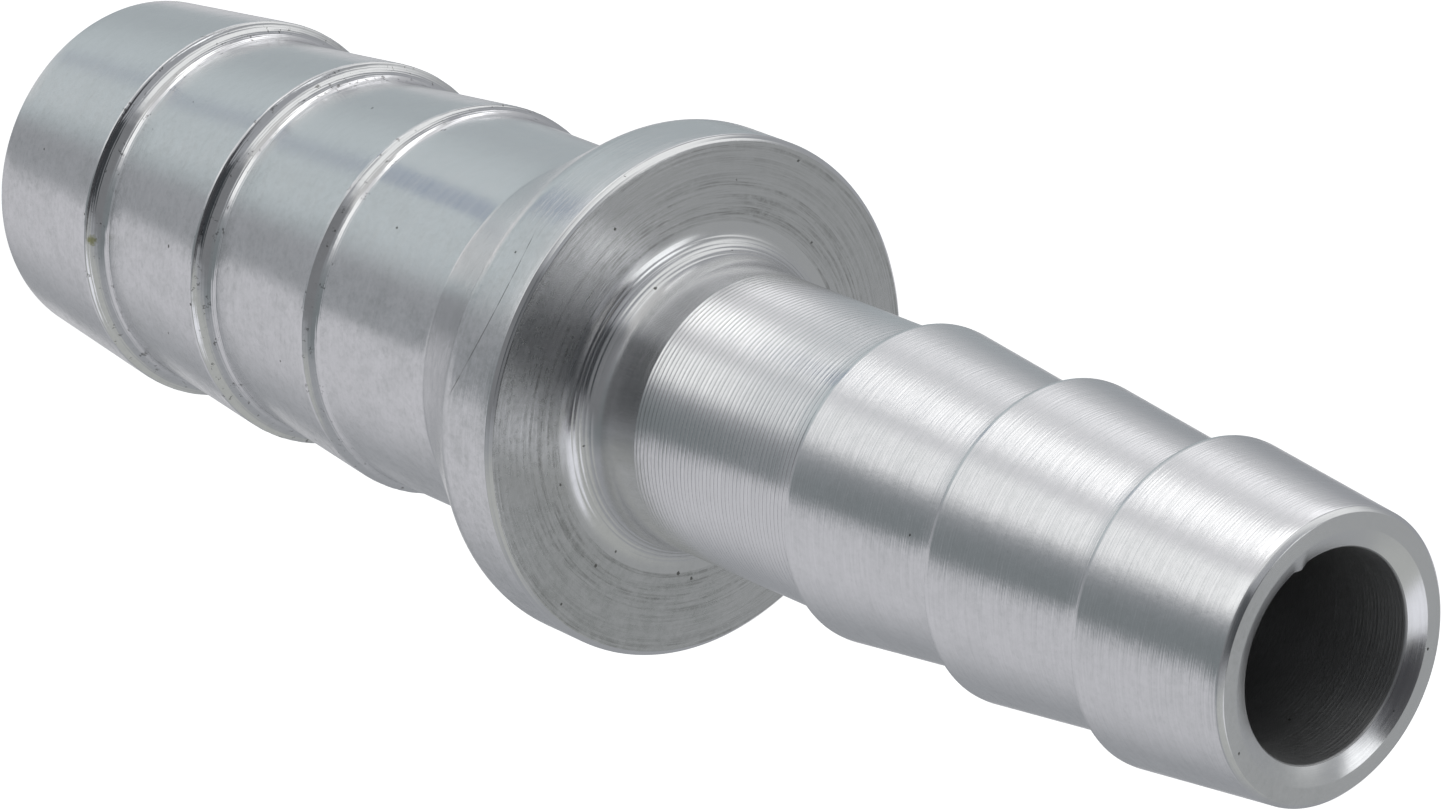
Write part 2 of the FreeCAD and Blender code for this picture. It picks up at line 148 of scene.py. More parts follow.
class ConnectorSizes(bpy.types.PropertyGroup):
    """Sizes of the turned body, the same as the solid's."""

    collar_radius: length("Collar radius", "Outside of the collar's rim", 9.0)
    rim_width: length("Rim width", "Cylindrical rim of the collar", 2.45)
    cone_length: length("Cone length", "Cone from the wide neck up to the rim", 4.0)
    rim_back_round: length("Rim back rounding", "Soft turn between cone and rim", 1.2)
    rim_edge: length("Rim edge", "Broken edge between the rim and the front face", 0.2)
    crest_land: length("Crest land", "Narrow flat on top of every barb", 0.12)
    large_crest: length("Wide barb radius", "Top of the barbs, wide spigot", 7.0)
    large_height: length("Wide barb height", "Barb top over barb root, wide spigot", 0.55)
    large_pitch: length("Wide barb pitch", "Barb spacing, wide spigot", 6.5)
    large_lead: length("Wide lead length", "Lead cone of the wide spigot", 6.25)
    large_rise: length("Wide lead rise", "Rise of the wide lead cone", 0.65)
    large_neck: length("Wide neck length", "Plain neck of the wide spigot", 6.4)
    large_step: length("Wide neck step", "Barb top over the wide neck", 0.3)
    large_hollow: length("Wide shoulder radius", "Hollow shoulder behind every wide barb", 0.8)
    small_crest: length("Narrow barb radius", "Top of the barbs, narrow spigot", 5.35)
    small_height: length("Narrow barb height", "Barb top over barb root, narrow spigot", 0.7)
    small_pitch: length("Narrow barb pitch", "Barb spacing, narrow spigot", 6.6)
    small_lead: length("Narrow lead length", "Lead cone of the narrow spigot", 5.6)
    small_rise: length("Narrow lead rise", "Rise of the narrow lead cone", 0.62)
    small_neck: length("Narrow neck length", "Front face to the first narrow barb", 10.45)
    small_step: length("Narrow neck step", "Barb top over the narrow neck", 0.45)
    small_wall_run: length("Narrow shoulder length", "Steep shoulder behind every narrow barb", 0.35)
    neck_fillet: length("Neck fillet", "Hollow fillet from the front face to the narrow neck", 2.4)
    large_bore: length("Wide bore radius", "Bore of the wide spigot", 5.0)
    small_bore: length("Narrow bore radius", "Bore of the narrow spigot", 3.4)
    bore_stop: length("Bore stop", "Front face down to the end of the wide bore's straight wall", 2.2)
    large_mouth: length("Wide mouth width", "Bevel at the wide mouth", 0.5)
    small_mouth: length("Narrow mouth width", "Bevel at the narrow mouth", 0.65)
    mouth_depth: length("Mouth depth", "Bevel depth at both mouths", 0.3)
    large_end_edge: length("Wide end edge", "Broken outer edge of the wide end", 0.15)
    small_end_edge: length("Narrow end edge", "Broken outer edge of the narrow end", 0.15)
    barbs: IntProperty(name="Barbs", description="Barbs on each spigot", default=3, min=1, max=8)
    segments: IntProperty(name="Segments", description="Steps round the axis", default=288, min=32, max=720)


class ConnectorFinish(bpy.types.PropertyGroup):
    """Colours of the turned aluminium."""

    metal: FloatVectorProperty(name="Aluminium", description="Colour of the clean turned metal",
                               subtype="COLOR", size=3, default=(0.90, 0.90, 0.905), min=0, max=1)
    dull: FloatVectorProperty(name="Dull metal", description="Colour of the duller patches",
                              subtype="COLOR", size=3, default=(0.72, 0.73, 0.725), min=0, max=1)
    # This colour also paints the shade on the front face, beside the pits, chips and the scratch
    pit_and_shade: FloatVectorProperty(name="Pits", description="Colour in the bottom of small pits",
                             subtype="COLOR", size=3, default=(0.22, 0.22, 0.21), min=0, max=1)
    stain: FloatVectorProperty(name="Stain", description="Colour of the small stain on a barb",
                               subtype="COLOR", size=3, default=(0.36, 0.36, 0.12), min=0, max=1)
    mark_depth: FloatProperty(name="Mark depth", description="Depth of a tool mark of one unit",
                              default=0.001 * MM, unit="LENGTH", precision=6)


class ConnectorStudio(bpy.types.PropertyGroup):
    """Camera and floor of the studio."""

    focal: FloatProperty(name="Focal length", description="Lens over a 36 mm wide image", default=152.55,
                         min=10, max=500, unit="CAMERA")
    distance: length("Camera distance", "Depth of the rim edge's centre from the camera", 203.8)
    tilt: FloatProperty(name="Tilt", description="Angle between the connector's axis and the view",
                        default=0.77128, subtype="ANGLE", unit="ROTATION")
    roll: FloatProperty(name="Roll", description="Angle of the axis below the picture's level",
                        default=0.39129, subtype="ANGLE", unit="ROTATION")
    face_left: length("Rim left", "Rim edge's centre left of the picture's middle", 0.831)
    face_up: length("Rim up", "Rim edge's centre above the picture's middle", 0.2936)
    floor: FloatVectorProperty(name="Floor", description="Colour of the floor and the backdrop",
                               subtype="COLOR", size=3, default=(0.9, 0.9, 0.9), min=0, max=1)
    glow: FloatProperty(name="Paper glow", description="Light that comes through the floor's paper",
                        default=0.8, min=0, max=1, subtype="FACTOR")
    reach: length("Floor reach", "Half the floor's width, and half the backdrop's radius", 1500)


# Turned outline


def corner(before, at, after, radius, steps):
    """Points of an arc that rounds one corner of an outline; a sharp corner gives the corner itself.

    The arc takes at most 48 percent of each side of the corner, so a short side makes it smaller.
    """
    a = (before - at).normalized()
    b = (after - at).normalized()
    half = a.angle(b) / 2
    if radius <= 0 or abs(half - math.pi / 2) < 1e-4:
        return [at]
    reach = radius / math.tan(half)
    reach = min(reach, 0.48 * (before - at).length, 0.48 * (after - at).length)
    radius = reach * math.tan(half)
    centre = at + (a + b).normalized() * (radius / math.sin(half))
    start = at + a * reach - centre
    end = at + b * reach - centre
    sweep = start.angle(end)
    turn = 1 if start.x * end.y - start.y * end.x > 0 else -1
    points = []
    for i in range(steps + 1):
        angle = turn * sweep * i / steps
        c, s = math.cos(angle), math.sin(angle)
        points.append(centre + Vector((start.x * c - start.y * s, start.x * s + start.y * c)))
    return points


def front_level(s):
    """The level of the collar's front face."""
    barbs = s.large_lead + (s.barbs - 1) * s.large_pitch + s.crest_land
    return barbs + s.large_neck + s.cone_length + s.rim_width


def body_outline(s):
    """The section's corners: level and radius, rounding, steps of the rounding, finish of what follows."""
    face = front_level(s)
    rows = []

    def add(level, radius, finish, rounding=0.0, steps=3):
        rows.append((Vector((level, radius)), rounding, steps, finish))

    def hollow(level, top, drop):
        """A hollow shoulder that starts at a barb's top and drops away from it."""
        run = math.sqrt(2 * s.large_hollow * drop - drop * drop)
        centre = Vector((level + run, top - drop + s.large_hollow))
        first = math.atan2(top - centre.y, level - centre.x)
        for i in range(1, HOLLOW_STEPS + 1):
            angle = first + (-math.pi / 2 - first) * i / HOLLOW_STEPS
            at = centre + Vector((math.cos(angle), math.sin(angle))) * s.large_hollow
            add(at.x, at.y, "wide" if i == HOLLOW_STEPS else "shoulder")

    add(s.mouth_depth, s.large_bore, "tip", 0.1 * MM)
    add(0, s.large_bore + s.large_mouth, "tip", 0.05 * MM)
    add(0, s.large_crest - s.large_rise - s.large_end_edge, "wide", 0.06 * MM)
    add(s.large_end_edge, s.large_crest - s.large_rise + 0.015 * MM, "wide", 0.12 * MM)
    level = s.large_lead
    for number in range(s.barbs):
        add(level, s.large_crest, "shoulder", 0.08 * MM)
        add(level + s.crest_land, s.large_crest, "shoulder", 0.03 * MM, 2)
        last = number == s.barbs - 1
        hollow(level + s.crest_land, s.large_crest, s.large_step if last else s.large_height)
        if not last:
            level += s.large_pitch
    add(face - s.rim_width - s.cone_length, s.large_crest - s.large_step, "wide", 0.5 * MM, 4)
    add(face - s.rim_width, s.collar_radius, "rim", s.rim_back_round, 8)
    add(face - s.rim_edge, s.collar_radius, "edge", 0.06 * MM)
    add(face, s.collar_radius - s.rim_edge, "face", 0.06 * MM)
    neck = s.small_crest - s.small_step
    # The side up to the grooved neck is short, so this arc has about half of the fillet's full radius
    add(face, neck, "fillet", s.neck_fillet, 48)
    add(face + s.neck_fillet + 0.05 * MM, neck, "neck")
    level = face + s.small_neck
    add(level - s.small_wall_run, neck, "narrow", 0.15 * MM)
    for number in range(s.barbs):
        add(level, s.small_crest, "narrow", 0.03 * MM, 2)
        add(level + s.crest_land, s.small_crest, "narrow", 0.08 * MM)
        if number < s.barbs - 1:
            level += s.small_pitch
            add(level - s.small_wall_run, s.small_crest - s.small_height, "narrow", 0.15 * MM)
    top = level + s.crest_land + s.small_lead
    add(top - s.small_end_edge, s.small_crest - s.small_rise + 0.017 * MM, "tip", 0.1 * MM)
    add(top, s.small_crest - s.small_rise - s.small_end_edge, "tip", 0.06 * MM)
    add(top, s.small_bore + s.small_mouth, "tip", 0.1 * MM)
    add(top - s.mouth_depth, s.small_bore, "bore", 0.1 * MM)
    step = face - s.bore_stop
    add(step + (s.large_bore - s.small_bore) * math.tan(DRILL_SLOPE), s.small_bore, "bore", 0.05 * MM)
    add(step, s.large_bore, "bore", 0.1 * MM)
    return rows


def outline_points(rows):
    """Rounds the corners of a closed outline and divides its long runs; each point keeps its finish."""
    points = []
    for i, (at, rounding, steps, finish) in enumerate(rows):
        arc = corner(rows[i - 1][0], at, rows[(i + 1) % len(rows)][0], rounding, steps)
        points += [(point, finish) for point in arc]
    closed = []
    for i, (here, finish) in enumerate(points):
        there = points[(i + 1) % len(points)][0]
        pieces = max(1, math.ceil((there - here).length / (BORE_RUN if finish == "bore" else PLAIN_RUN)))
        closed += [(here.lerp(there, k / pieces), finish) for k in range(pieces)]
    return closed


def ridges(points, face, neck, fillet):
    """Raises the fine ridges that the tool left where it turned from the face into the fillet."""
    centre = Vector((face + fillet, neck + fillet))
    first = RIDGES_START - 0.15
    last = RIDGES_START + (RIDGES - 1) * RIDGE_FEED + 0.1
    raised = []

    def way_down(at):
        """The way in millimetres from the face along an arc of the full radius."""
        out = at - centre
        return (math.pi / 2 - math.atan2(-out.x, -out.y)) * fillet / MM

    for i, (at, finish) in enumerate(points):
        if finish != "fillet":
            raised.append((at, finish))
            continue
        parts = RIDGE_PARTS if first < way_down(at) < last else 1
        for part in range(parts):
            spot = at.lerp(points[(i + 1) % len(points)][0], part / parts)
            way = way_down(spot) - RIDGES_START
            lift = sum(math.exp(-((way - RIDGE_FEED * k) / RIDGE_WIDTH) ** 2) for k in range(RIDGES))
            raised.append((spot - (spot - centre).normalized() * (RIDGE_HEIGHT * MM * lift), finish))
    return raised


def lathe(name, points, segments):
    """Turns a closed outline round the axis; its map keeps the turn and the way along the outline."""
    count = len(points)
    names = list(FINISHES)
    way = [0.0]
    for i in range(count):
        way.append(way[-1] + (points[(i + 1) % count][0] - points[i][0]).length / MM)
    verts = []
    for j in range(segments):
        angle = 2 * math.pi * j / segments
        c, s = math.cos(angle), math.sin(angle)
        for p, finish in points:
            at = Vector((p.y * c, p.y * s, p.x))
            if finish == "shoulder":
                torn = noise.noise(at / MM * 3.0) + 0.5 * noise.noise(at / MM * 8.0)
                at -= Vector((c, s, 0)) * (TORN_DEPTH * MM * abs(torn))
            near = (at / MM - BURR).length
            if near < BURR_REACH:
                at -= Vector((c, s, 0)) * (BURR_HEIGHT * MM * (1 - near / BURR_REACH))
            verts.append(at)
    faces = []
    coords = []
    slots = []
    for j in range(segments):
        k = (j + 1) % segments
        low, high = j / segments, (j + 1) / segments
        for i in range(count):
            n = (i + 1) % count
            faces.append((j * count + i, k * count + i, k * count + n, j * count + n))
            coords += [low, way[i], high, way[i], high, way[i + 1], low, way[i + 1]]
            slots.append(names.index(points[i][1]))
    mesh = bpy.data.meshes.new(name)
    mesh.from_pydata(verts, [], faces)
    mesh.uv_layers.new(name="turning").data.foreach_set("uv", coords)
    mesh.polygons.foreach_set("material_index", slots)
    mesh.polygons.foreach_set("use_smooth", [True] * len(faces))
    mesh.update()
    return mesh


# Node helpers


def math_node(tree, operation, *values):
    """Adds a Math node; a value is a number or the socket that feeds it."""
    node = tree.nodes.new("ShaderNodeMath")
    node.operation = operation
    for socket, value in zip(node.inputs, values):
        if isinstance(value, (int, float)):
            socket.default_value = value
        else:
            tree.links.new(value, socket)
    return node.outputs[0]


def vector_node(tree, operation, *values):
    """Adds a Vector Math node; a value is a vector, a number for the scale, or the socket that feeds it."""
    node = tree.nodes.new("ShaderNodeVectorMath")
    node.operation = operation
    sockets = [node.inputs[0], node.inputs["Scale"]] if operation == "SCALE" else node.inputs
    for socket, value in zip(sockets, values):
        if isinstance(value, (int, float, tuple)):
            socket.default_value = value
        else:
            tree.links.new(value, socket)
    return node.outputs["Value" if operation in ("LENGTH", "DISTANCE") else "Vector"]


def ramp_node(tree, value, low, high, start=0.0, end=1.0):
    """Adds a soft step from start to end while the value goes from low to high."""
    node = tree.nodes.new("ShaderNodeMapRange")
    node.interpolation_type = "SMOOTHSTEP"
    for socket, given in zip(node.inputs, (value, low, high, start, end)):
        if isinstance(given, (int, float)):
            socket.default_value = given
        else:
            tree.links.new(given, socket)
    return node.outputs[0]


def noise_node(tree, vector, scale, detail=2.0, rough=0.5):
    """Adds a noise of so many cycles a unit and returns its value from 0 to 1."""
    node = tree.nodes.new("ShaderNodeTexNoise")
    node.inputs["Scale"].default_value = scale
    node.inputs["Detail"].default_value = detail
    node.inputs["Roughness"].default_value = rough
    tree.links.new(vector, node.inputs["Vector"])
    return node.outputs["Fac"]


def mix_node(tree, factor, low, high):
    """Adds a colour mix; a colour is three numbers or the socket that feeds it."""
    colour_a, colour_b, result = 6, 7, 2
    node = tree.nodes.new("ShaderNodeMix")
    node.data_type = "RGBA"
    tree.links.new(factor, node.inputs["Factor"])
    for socket, value in ((node.inputs[colour_a], low), (node.inputs[colour_b], high)):
        if isinstance(value, bpy.types.NodeSocket):
            tree.links.new(value, socket)
        else:
            socket.default_value = (*value, 1)
    return node.outputs[result]


def group(name, inputs, outputs):
    """Makes an empty shader group with named sockets and returns its tree, its input and its output."""
    tree = bpy.data.node_groups.new(name, "ShaderNodeTree")
    for label in inputs:
        tree.interface.new_socket(label, in_out="INPUT", socket_type="NodeSocketFloat")
    for label in outputs:
        tree.interface.new_socket(label, in_out="OUTPUT", socket_type="NodeSocketFloat")
    return tree, tree.nodes.new("NodeGroupInput"), tree.nodes.new("NodeGroupOutput")


def place_group(tree, source, **values):
    """Puts a group into a tree with its own values."""
    node = tree.nodes.new("ShaderNodeGroup")
    node.node_tree = source
    for label, value in values.items():
        socket = node.inputs[label.replace("_", " ").capitalize()]
        if isinstance(value, (int, float)):
            socket.default_value = value
        else:
            tree.links.new(value, socket)
    return node


# Turned aluminium


def tool_marks():
    """Group: grooves and slanted teeth of one feed that wind round the part, and long streaks along them."""
    labels = ("Feed", "Groove", "Tooth", "Streak")
    tree, given, result = group("tool_marks", labels, ("Height", "Streaks"))
    turning = tree.nodes.new("ShaderNodeUVMap")
    turning.uv_map = "turning"
    split = tree.nodes.new("ShaderNodeSeparateXYZ")
    tree.links.new(turning.outputs["UV"], split.inputs[0])
    way = split.outputs["Y"]
    place = tree.nodes.new("ShaderNodeTexCoord").outputs["Object"]
    flat = vector_node(tree, "MULTIPLY", place, (1, 1, 0))
    round_about = vector_node(tree, "NORMALIZE", flat)
    rise = tree.nodes.new("ShaderNodeCombineXYZ")
    tree.links.new(way, rise.inputs["Z"])

    turns = math_node(tree, "ADD", math_node(tree, "DIVIDE", way, given.outputs["Feed"]), split.outputs["X"])
    zigzag = math_node(tree, "MULTIPLY", math_node(tree, "PINGPONG", turns, 0.5), 2)
    cusp = math_node(tree, "POWER", zigzag, 2)
    wander = noise_node(tree, vector_node(tree, "ADD", vector_node(tree, "SCALE", round_about, 0.5),
                                          vector_node(tree, "SCALE", rise.outputs[0], 5.0)), 1.0)
    groove = math_node(tree, "MULTIPLY", cusp, ramp_node(tree, wander, 0.3, 0.7, 0.35, 1.0))

    fine = noise_node(tree, vector_node(tree, "ADD", vector_node(tree, "SCALE", round_about, 1.5),
                                        vector_node(tree, "SCALE", rise.outputs[0], 9.0)), 1.0, 4.0, 0.75)
    streaks = ramp_node(tree, fine, 0.25, 0.75)
    # A tooth falls slowly over most of its feed and rises steeply over the last fifteenth
    part = math_node(tree, "FRACT", turns)
    fall = math_node(tree, "MAXIMUM", math_node(tree, "MULTIPLY_ADD", part, -1.07, 1.0), 0)
    fall = math_node(tree, "POWER", fall, 1.3)
    rise_back = math_node(tree, "MAXIMUM", math_node(tree, "MULTIPLY_ADD", part, 15.0, -14.0), 0)
    tooth = math_node(tree, "MULTIPLY", math_node(tree, "MAXIMUM", fall, rise_back), given.outputs["Tooth"])
    height = math_node(tree, "MULTIPLY_ADD", groove, given.outputs["Groove"], tooth)
    height = math_node(tree, "MULTIPLY_ADD", streaks, given.outputs["Streak"], height)
    tree.links.new(height, result.inputs["Height"])
    tree.links.new(streaks, result.inputs["Streaks"])
    return tree


def handling():
    """Group: the blotches and small pits that a turned part gets from its bar and from handling."""
    labels = ("Dents", "Mottle", "Pits")
    tree, given, result = group("handling", labels, ("Height", "Blotches", "Specks"))
    place = vector_node(tree, "SCALE", tree.nodes.new("ShaderNodeTexCoord").outputs["Object"], 1 / MM)
    broad = noise_node(tree, place, 0.9, 4.0, 0.6)
    small = noise_node(tree, vector_node(tree, "ADD", place, (13, 7, 5)), 3.5, 3.0, 0.6)
    fleck = noise_node(tree, place, 6.0, 3.0, 0.7)
    blotch = math_node(tree, "ADD", math_node(tree, "MULTIPLY", ramp_node(tree, broad, 0.35, 0.7), 0.35),
                       math_node(tree, "MULTIPLY", ramp_node(tree, small, 0.4, 0.7), 0.35))
    blotch = math_node(tree, "MULTIPLY_ADD", ramp_node(tree, fleck, 0.4, 0.7), 0.3, blotch)
    flat = vector_node(tree, "NORMALIZE", vector_node(tree, "MULTIPLY", place, (1, 1, 0)))
    side = tree.nodes.new("ShaderNodeVectorMath")
    side.operation = "DOT_PRODUCT"
    side.inputs[1].default_value = WORN_SIDE
    tree.links.new(flat, side.inputs[0])
    blotch = math_node(tree, "MULTIPLY", blotch, ramp_node(tree, side.outputs["Value"], -0.1, 0.7, 0.25, 1.0))
    tree.links.new(math_node(tree, "MULTIPLY", blotch, given.outputs["Mottle"]), result.inputs["Blotches"])

    # Pits lie in a few cells out of many, each with its own size and a ragged edge
    cells = tree.nodes.new("ShaderNodeTexVoronoi")
    cells.inputs["Scale"].default_value = 1.4
    tree.links.new(place, cells.inputs["Vector"])
    rough = noise_node(tree, place, 11.0, 2.0, 0.6)
    ragged = math_node(tree, "ADD", cells.outputs["Distance"], math_node(tree, "MULTIPLY", rough, 0.16))
    rare = tree.nodes.new("ShaderNodeSeparateColor")
    tree.links.new(cells.outputs["Color"], rare.inputs[0])
    share = math_node(tree, "MULTIPLY", given.outputs["Pits"], 0.5)
    chosen = math_node(tree, "LESS_THAN", rare.outputs[0], share)
    size = math_node(tree, "ADD", math_node(tree, "MULTIPLY", rare.outputs[1], 0.07), 0.10)
    speck = math_node(tree, "MULTIPLY", chosen, math_node(tree, "LESS_THAN", ragged, size))
    knocks = math_node(tree, "ADD", broad, math_node(tree, "MULTIPLY", small, 0.35))
    knocks = math_node(tree, "MULTIPLY", knocks, given.outputs["Dents"])
    height = math_node(tree, "MULTIPLY_ADD", speck, -8, knocks)
    tree.links.new(height, result.inputs["Height"])
    tree.links.new(speck, result.inputs["Specks"])
    return tree


def turned_aluminium(name, finish, marks, wear, tone, roughness, stretch, feed, groove, streak, dents, mottle,
                     pits, tooth=0.0):
    """One finish of the bar: the same metal, with its own gloss and marks."""
    material = bpy.data.materials.new("turned_" + name)
    material.use_nodes = True
    tree = material.node_tree
    tree.nodes.clear()
    surface = tree.nodes.new("ShaderNodeBsdfPrincipled")
    surface.inputs["Metallic"].default_value = 1.0
    surface.inputs["Anisotropic"].default_value = stretch
    surface.inputs["Anisotropic Rotation"].default_value = 0.25
    tangent = tree.nodes.new("ShaderNodeTangent")
    tangent.direction_type = "RADIAL"
    tangent.axis = "Z"
    tree.links.new(tangent.outputs["Tangent"], surface.inputs["Tangent"])

    place = vector_node(tree, "SCALE", tree.nodes.new("ShaderNodeTexCoord").outputs["Object"], 1 / MM)
    split = tree.nodes.new("ShaderNodeSeparateXYZ")
    tree.links.new(place, split.inputs[0])
    side, front, level = split.outputs
    if name == "neck":
        # The grooves get finer away from the collar
        tooth = ramp_node(tree, level, 36.0, 41.0, tooth, 0.45 * tooth)
    tool = place_group(tree, marks, feed=feed, groove=groove, tooth=tooth, streak=streak)
    spots = place_group(tree, wear, dents=dents, mottle=mottle, pits=pits)
    clean = [tone * value for value in finish.metal]
    blotches = spots.outputs["Blotches"]
    haze = math_node(tree, "MULTIPLY_ADD", tool.outputs["Streaks"], streak * STREAK_HAZE, blotches)
    dulled = mix_node(tree, haze, clean, [tone * value for value in finish.dull])
    colour = mix_node(tree, spots.outputs["Specks"], dulled, finish.pit_and_shade)
    if name == "shoulder":
        # Dark chips along the torn edge, and one yellow stain
        chips = ramp_node(tree, noise_node(tree, place, 3.2, 4.0, 0.7), 0.60, 0.68)
        colour = mix_node(tree, math_node(tree, "MULTIPLY", chips, 0.75), colour, finish.pit_and_shade)
        ragged = noise_node(tree, place, 7.0, 2.0)
        away = vector_node(tree, "DISTANCE", place, tuple(STAIN))
        off = math_node(tree, "MULTIPLY_ADD", ragged, 0.25, away)
        colour = mix_node(tree, ramp_node(tree, off, 0.22, 0.38, 0.8, 0.0), colour, finish.stain)
    if name == "face":
        # Dirt and painted shade: the face is darkened in streaky patches all over, most in a ring beside the
        # rim and a ring beside the neck
        radius = vector_node(tree, "LENGTH", vector_node(tree, "MULTIPLY", place, (1, 1, 0)))
        near_rim_and_neck = math_node(tree, "ADD", ramp_node(tree, radius, 8.3, 8.8), ramp_node(tree, radius, 7.6, 7.3))
        near_rim_and_neck = math_node(tree, "MULTIPLY_ADD", near_rim_and_neck, 0.6, 0.4)
        scored = ramp_node(tree, tool.outputs["Streaks"], 0.35, 0.95)
        dirt_and_shade = ramp_node(tree, noise_node(tree, place, 2.5, 4.0, 0.7), 0.3, 0.65)
        dirt_and_shade = math_node(tree, "MULTIPLY", math_node(tree, "MULTIPLY", near_rim_and_neck, dirt_and_shade), scored)
        colour = mix_node(tree, math_node(tree, "MULTIPLY", dirt_and_shade, 0.55), colour, finish.pit_and_shade)
    if name == "rim":
        # One curved scratch on the rim's camera side
        bend = math_node(tree, "POWER", math_node(tree, "ADD", side, 1.0), 2)
        curve = math_node(tree, "MULTIPLY_ADD", bend, 0.07, -31.15)
        off = math_node(tree, "ABSOLUTE", math_node(tree, "ADD", curve, level))
        line = math_node(tree, "MULTIPLY", ramp_node(tree, off, 0.008, 0.030, 1.0, 0.0),
                         ramp_node(tree, front, -8.45, -8.6, 0.0, 1.0))
        faint = ramp_node(tree, noise_node(tree, place, 1.5), 0.4, 0.55, 0.25, 0.8)
        colour = mix_node(tree, math_node(tree, "MULTIPLY", line, faint), colour, finish.pit_and_shade)
    tree.links.new(colour, surface.inputs["Base Color"])

    smooth = roughness - STREAK_ROUGH / 2
    gloss = math_node(tree, "MULTIPLY_ADD", tool.outputs["Streaks"], STREAK_ROUGH, smooth)
    gloss = math_node(tree, "MULTIPLY_ADD", blotches, BLOTCH_ROUGH, gloss)
    tree.links.new(gloss, surface.inputs["Roughness"])

    bump = tree.nodes.new("ShaderNodeBump")
    bump.inputs["Strength"].default_value = 1.0
    bump.inputs["Distance"].default_value = finish.mark_depth
    height = math_node(tree, "ADD", spots.outputs["Height"], tool.outputs["Height"])
    tree.links.new(height, bump.inputs["Height"])
    tree.links.new(bump.outputs["Normal"], surface.inputs["Normal"])
    output = tree.nodes.new("ShaderNodeOutputMaterial")
    tree.links.new(surface.outputs["BSDF"], output.inputs["Surface"])
    return material


class CONNECTOR_OT_turn_body(bpy.types.Operator):
    """Turn the connector's body with its rounded edges and finish it in turned aluminium"""

    bl_idname = "connector.turn_body"
    bl_label = "Turn the body"

    def execute(self, context):
        sizes = context.scene.connector_sizes
        points = outline_points(body_outline(sizes))
        face = front_level(sizes)
        points = ridges(points, face, sizes.small_crest - sizes.small_step, sizes.neck_fillet)
        mesh = lathe("turned_body", points, sizes.segments)
        body = bpy.data.objects.new("turned_body", mesh)
        context.scene.collection.objects.link(body)
        finish = context.scene.connector_finish
        marks = tool_marks()
        wear = handling()
        for name, values in FINISHES.items():
            mesh.materials.append(turned_aluminium(name, finish, marks, wear, **values))
        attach(body, "root")
        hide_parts(NODE)
        return {"FINISHED"}


# Studio


def soft_card():
    """Group: the mask of one card, from the heading and the drop of the way that a ray takes."""
    labels = ("Heading", "Drop", "Lean", "Middle", "Left", "Left softness", "Right", "Right softness",
              "Low", "Low softness", "High", "High softness")
    tree, given, result = group("soft_card", labels, ("Mask",))

    def edge(way, place, soft, start, end):
        """A soft step at one edge of the card."""
        reach = math_node(tree, "MULTIPLY", given.outputs[soft], 0.5)
        low = math_node(tree, "SUBTRACT", given.outputs[place], reach)
        high = math_node(tree, "ADD", given.outputs[place], reach)
        return ramp_node(tree, way, low, high, start, end)

    over = math_node(tree, "MAXIMUM", math_node(tree, "SUBTRACT", given.outputs["Drop"], LEAN_FROM), 0)
    leant = math_node(tree, "MULTIPLY_ADD", over, given.outputs["Lean"], given.outputs["Heading"])
    off = math_node(tree, "SUBTRACT", leant, given.outputs["Middle"])
    off = math_node(tree, "WRAP", off, math.pi, -math.pi)
    across = math_node(tree, "MULTIPLY", edge(off, "Left", "Left softness", 0.0, 1.0),
                       edge(off, "Right", "Right softness", 1.0, 0.0))
    drop = given.outputs["Drop"]
    along = math_node(tree, "MULTIPLY", edge(drop, "Low", "Low softness", 0.0, 1.0),
                      edge(drop, "High", "High softness", 1.0, 0.0))
    tree.links.new(math_node(tree, "MULTIPLY", across, along), result.inputs["Mask"])
    return tree


def studio_world():
    """The soft cards round the part, which light it and show in the metal."""
    world = bpy.data.worlds.new("studio")
    bpy.context.scene.world = world
    world.use_nodes = True
    tree = world.node_tree
    tree.nodes.clear()
    split = tree.nodes.new("ShaderNodeSeparateXYZ")
    tree.links.new(tree.nodes.new("ShaderNodeTexCoord").outputs["Generated"], split.inputs[0])
    x, y, z = split.outputs
    heading = math_node(tree, "ARCTAN2", math_node(tree, "MULTIPLY", x, -1), y)
    drop = math_node(tree, "ARCCOSINE", math_node(tree, "MULTIPLY", z, -1))
    card_mask = soft_card()
    light = BACKDROP_LIGHT
    for name, card in CARDS.items():
        left, left_soft, right, right_soft = [math.radians(angle) for angle in card["heading"]]
        low, low_soft, high, high_soft = [math.radians(angle) for angle in card["drop"]]
        middle = (left + right) / 2
        mask = place_group(tree, card_mask, heading=heading, drop=drop, lean=card.get("lean", 0),
                           middle=middle, left=left - middle, left_softness=left_soft,
                           right=right - middle, right_softness=right_soft,
                           low=low, low_softness=low_soft, high=high, high_softness=high_soft)
        mask.name = name
        light = mix_node(tree, mask.outputs["Mask"], light, card["light"])
    background = tree.nodes.new("ShaderNodeBackground")
    tree.links.new(light, background.inputs["Color"])
    output = tree.nodes.new("ShaderNodeOutputWorld")
    tree.links.new(background.outputs[0], output.inputs[0])


def paper(name, colour, glow):
    """Pale paper with some light coming through it."""
    material = bpy.data.materials.new(name)
    material.use_nodes = True
    surface = material.node_tree.nodes["Principled BSDF"]
    surface.inputs["Base Color"].default_value = (*colour, 1)
    surface.inputs["Roughness"].default_value = 1.0
    surface.inputs["Specular IOR Level"].default_value = 0.0
    surface.inputs["Emission Color"].default_value = (1, 1, 1, 1)
    surface.inputs["Emission Strength"].default_value = glow
    return material


def set_behind(name, verts, faces, material):
    """Adds a piece of the studio that the camera sees; the metal shows the cards in its place."""
    mesh = bpy.data.meshes.new(name)
    mesh.from_pydata(verts, [], faces)
    mesh.materials.append(material)
    mesh.polygons.foreach_set("use_smooth", [True] * len(faces))
    piece = bpy.data.objects.new(name, mesh)
    bpy.context.scene.collection.objects.link(piece)
    piece.visible_glossy = False
    piece.visible_shadow = False
    return piece


